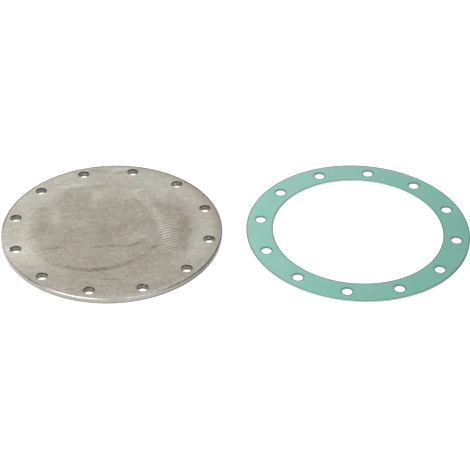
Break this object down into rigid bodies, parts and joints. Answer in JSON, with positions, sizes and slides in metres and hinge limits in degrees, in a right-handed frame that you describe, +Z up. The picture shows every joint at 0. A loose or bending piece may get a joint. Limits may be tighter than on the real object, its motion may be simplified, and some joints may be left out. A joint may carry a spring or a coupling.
{
  "type": "blind flange with gasket",
  "caption": "Round flat cover plate with a ring of plain bolt holes near its rim, and the loose flat ring gasket that seals it, lying side by side.",
  "frame": {"origin": "centre of the plate's underside, which lies on the surface", "axes": "+Z up out of the plate's top face along its bolt circle's axis; +X from the plate's centre towards the gasket lying beside it"},
  "size_m": [0.617, 0.295, 0.008],
  "materials": {
    "ground_steel": "satin",
    "gasket_sheet": "matte"
  },
  "bodies": {
    "plate": {"flange_plate": "ground_steel"},
    "gasket": {"ring_gasket": "gasket_sheet"}
  },
  "joints": [
    {"name": "gasket_carry", "type": "slide", "parent": "plate", "child": "gasket", "axis": [-0.9557, 0, 0.2945], "range_m": [0, 0.33956]}
  ]
}
